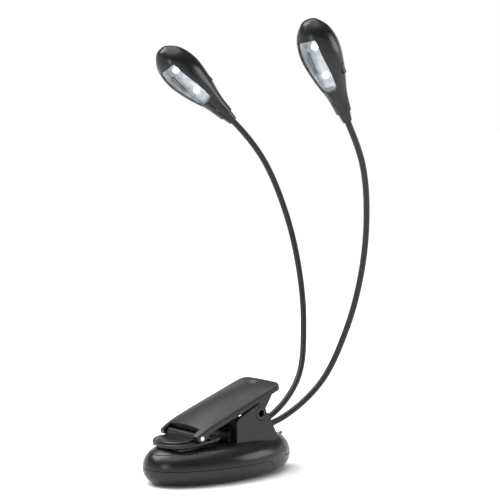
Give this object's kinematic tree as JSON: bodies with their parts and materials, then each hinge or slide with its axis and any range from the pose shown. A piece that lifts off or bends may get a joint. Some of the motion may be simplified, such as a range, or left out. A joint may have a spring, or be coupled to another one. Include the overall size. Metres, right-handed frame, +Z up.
{
  "type": "clip-on reading lamp",
  "caption": "Battery reading lamp with a spring clip on an oval base and curved goosenecks that carry teardrop heads with small white lamps.",
  "frame": {"origin": "centre of the flat underside of the base", "axes": "+Z up, -X towards the jaw at the front of the clip, +X towards the rear where the goosenecks leave, +Y towards the left gooseneck"},
  "size_m": [0.1383, 0.1301, 0.2599],
  "materials": {
    "body_plastic": "semi-gloss moulded black",
    "deck_plastic": "semi-gloss moulded black",
    "lever_plastic": "satin moulded black",
    "head_plastic": "glossy moulded black",
    "inner_plastic": "matt black",
    "button_plastic": "satin dark grey",
    "rubber": "matt",
    "sleeve": "black sleeve with fine rings",
    "steel": "drawn",
    "rivet_metal": "blackened",
    "bright_metal": "nickel plated",
    "reflector": "metallised tray",
    "lens": "clear",
    "led": "clear dome over white",
    "board": "solder mask",
    "component": "moulded",
    "cell_jacket": "printed jacket without text"
  },
  "bodies": {
    "base": {"base_housing": "body_plastic", "deck_cover": "deck_plastic", "lower_jaw_grip": "rubber", "battery_tray": "inner_plastic", "battery_cells": "cell_jacket", "battery_springs": "steel", "battery_contacts": "steel", "driver_board": "board", "board_parts": "component", "power_socket": "bright_metal", "bracket_screws": "steel", "clip_bracket": "deck_plastic", "pivot_rivets": "rivet_metal", "spring_pin": "steel", "arm_anchor": "inner_plastic", "crimp_sleeves": "bright_metal", "gooseneck_left_root": "sleeve", "gooseneck_right_root": "sleeve"},
    "battery_door": {"battery_door": "body_plastic"},
    "lever": {"lever_frame": "body_plastic", "lever_cover": "lever_plastic", "lever_screws": "steel", "jaw_hinge_pin": "bright_metal", "torsion_spring": "steel"},
    "jaw_pad": {"jaw_pad": "deck_plastic", "jaw_sole": "rubber"},
    "left_link_1": {"gooseneck_left_1": "sleeve"},
    "left_link_2": {"gooseneck_left_2": "sleeve"},
    "left_link_3": {"gooseneck_left_3": "sleeve"},
    "left_link_4": {"gooseneck_left_4": "sleeve"},
    "left_link_5": {"gooseneck_left_5": "sleeve"},
    "left_link_6": {"gooseneck_left_6": "sleeve", "head_collar_left": "head_plastic", "head_cover_left": "head_plastic", "head_frame_left": "head_plastic", "reflector_left": "reflector", "window_left": "lens", "leds_left": "led", "led_board_left": "board", "switch_body_left": "component", "head_screw_left": "rivet_metal"},
    "left_button": {"switch_button_left": "button_plastic"},
    "right_link_1": {"gooseneck_right_1": "sleeve"},
    "right_link_2": {"gooseneck_right_2": "sleeve"},
    "right_link_3": {"gooseneck_right_3": "sleeve"},
    "right_link_4": {"gooseneck_right_4": "sleeve"},
    "right_link_5": {"gooseneck_right_5": "sleeve"},
    "right_link_6": {"gooseneck_right_6": "sleeve", "head_collar_right": "head_plastic", "head_cover_right": "head_plastic", "head_frame_right": "head_plastic", "reflector_right": "reflector", "window_right": "lens", "leds_right": "led", "led_board_right": "board", "switch_body_right": "component", "head_screw_right": "rivet_metal"},
    "right_button": {"switch_button_right": "button_plastic"}
  },
  "joints": [
    {"name": "lever_press", "type": "hinge", "parent": "base", "child": "lever", "pos_m": [0.0183, 0, 0.0357], "axis": [0, 1, 0], "range_deg": [0, 28], "stiffness_Nm_per_rad": 0.35, "springref_deg": -45.84},
    {"name": "jaw_pad_swivel", "type": "hinge", "parent": "lever", "child": "jaw_pad", "pos_m": [-0.02484, 0, 0.02648], "axis": [0, 1, 0], "range_deg": [-14, 0]},
    {"name": "battery_door_slide", "type": "slide", "parent": "base", "child": "battery_door", "axis": [-1, 0, 0], "range_m": [0, 0.06]},
    {"name": "left_arm_fore_1", "type": "hinge", "parent": "base", "child": "left_link_1", "pos_m": [0.0437, 0.00492, 0.028], "axis": [0.0653, -0.9977, 0.0163], "range_deg": [-20, 20]},
    {"name": "left_arm_side_2", "type": "hinge", "parent": "left_link_1", "child": "left_link_2", "pos_m": [0.07088, 0.01038, 0.04786], "axis": [-0.861, 0, 0.5087], "range_deg": [-4, 20]},
    {"name": "left_arm_fore_3", "type": "hinge", "parent": "left_link_2", "child": "left_link_3", "pos_m": [0.08304, 0.01924, 0.07959], "axis": [0.0571, -0.9675, 0.2465], "range_deg": [-20, 20]},
    {"name": "left_arm_side_4", "type": "hinge", "parent": "left_link_3", "child": "left_link_4", "pos_m": [0.08642, 0.02796, 0.11347], "axis": [-0.9998, 0, -0.0195], "range_deg": [-4, 20]},
    {"name": "left_arm_fore_5", "type": "hinge", "parent": "left_link_4", "child": "left_link_5", "pos_m": [0.0824, 0.03615, 0.14745], "axis": [-0.0483, -0.9736, 0.2231], "range_deg": [-20, 20]},
    {"name": "left_arm_side_6", "type": "hinge", "parent": "left_link_5", "child": "left_link_6", "pos_m": [0.07101, 0.04441, 0.17962], "axis": [-0.8739, 0, -0.4861], "range_deg": [-4, 20]},
    {"name": "left_button_press", "type": "slide", "parent": "left_link_6", "child": "left_button", "axis": [-0.1559, 0.8754, -0.4575], "range_m": [0, 0.0008], "stiffness_N_per_m": 400, "springref_m": -0.001},
    {"name": "right_arm_fore_1", "type": "hinge", "parent": "base", "child": "right_link_1", "pos_m": [0.0437, -0.00492, 0.028], "axis": [-0.0653, -0.9977, -0.0163], "range_deg": [-20, 20]},
    {"name": "right_arm_side_2", "type": "hinge", "parent": "right_link_1", "child": "right_link_2", "pos_m": [0.07068, -0.01028, 0.04752], "axis": [0.8578, 0, -0.5141], "range_deg": [-4, 20]},
    {"name": "right_arm_fore_3", "type": "hinge", "parent": "right_link_2", "child": "right_link_3", "pos_m": [0.08285, -0.01904, 0.07882], "axis": [-0.0588, -0.9674, -0.2462], "range_deg": [-20, 20]},
    {"name": "right_arm_side_4", "type": "hinge", "parent": "right_link_3", "child": "right_link_4", "pos_m": [0.08645, -0.02765, 0.11228], "axis": [0.9999, 0, 0.0125], "range_deg": [-4, 20]},
    {"name": "right_arm_fore_5", "type": "hinge", "parent": "right_link_4", "child": "right_link_5", "pos_m": [0.08276, -0.03582, 0.14588], "axis": [0.0459, -0.973, -0.2261], "range_deg": [-20, 20]},
    {"name": "right_arm_side_6", "type": "hinge", "parent": "right_link_5", "child": "right_link_6", "pos_m": [0.07173, -0.04365, 0.17781], "axis": [0.8769, 0, 0.4807], "range_deg": [-4, 20]},
    {"name": "right_button_press", "type": "slide", "parent": "right_link_6", "child": "right_button", "axis": [-0.1966, 0.9715, -0.1327], "range_m": [0, 0.0008], "stiffness_N_per_m": 400, "springref_m": -0.001}
  ],
  "couplings": [
    {"joint": "jaw_pad_swivel", "follows": "lever_press", "ratio": -0.5},
    {"joint": "left_arm_fore_3", "follows": "left_arm_fore_1", "ratio": 1},
    {"joint": "left_arm_fore_5", "follows": "left_arm_fore_1", "ratio": 1},
    {"joint": "left_arm_side_4", "follows": "left_arm_side_2", "ratio": 1},
    {"joint": "left_arm_side_6", "follows": "left_arm_side_2", "ratio": 1},
    {"joint": "right_arm_fore_3", "follows": "right_arm_fore_1", "ratio": 1},
    {"joint": "right_arm_fore_5", "follows": "right_arm_fore_1", "ratio": 1},
    {"joint": "right_arm_side_4", "follows": "right_arm_side_2", "ratio": 1},
    {"joint": "right_arm_side_6", "follows": "right_arm_side_2", "ratio": 1}
  ]
}
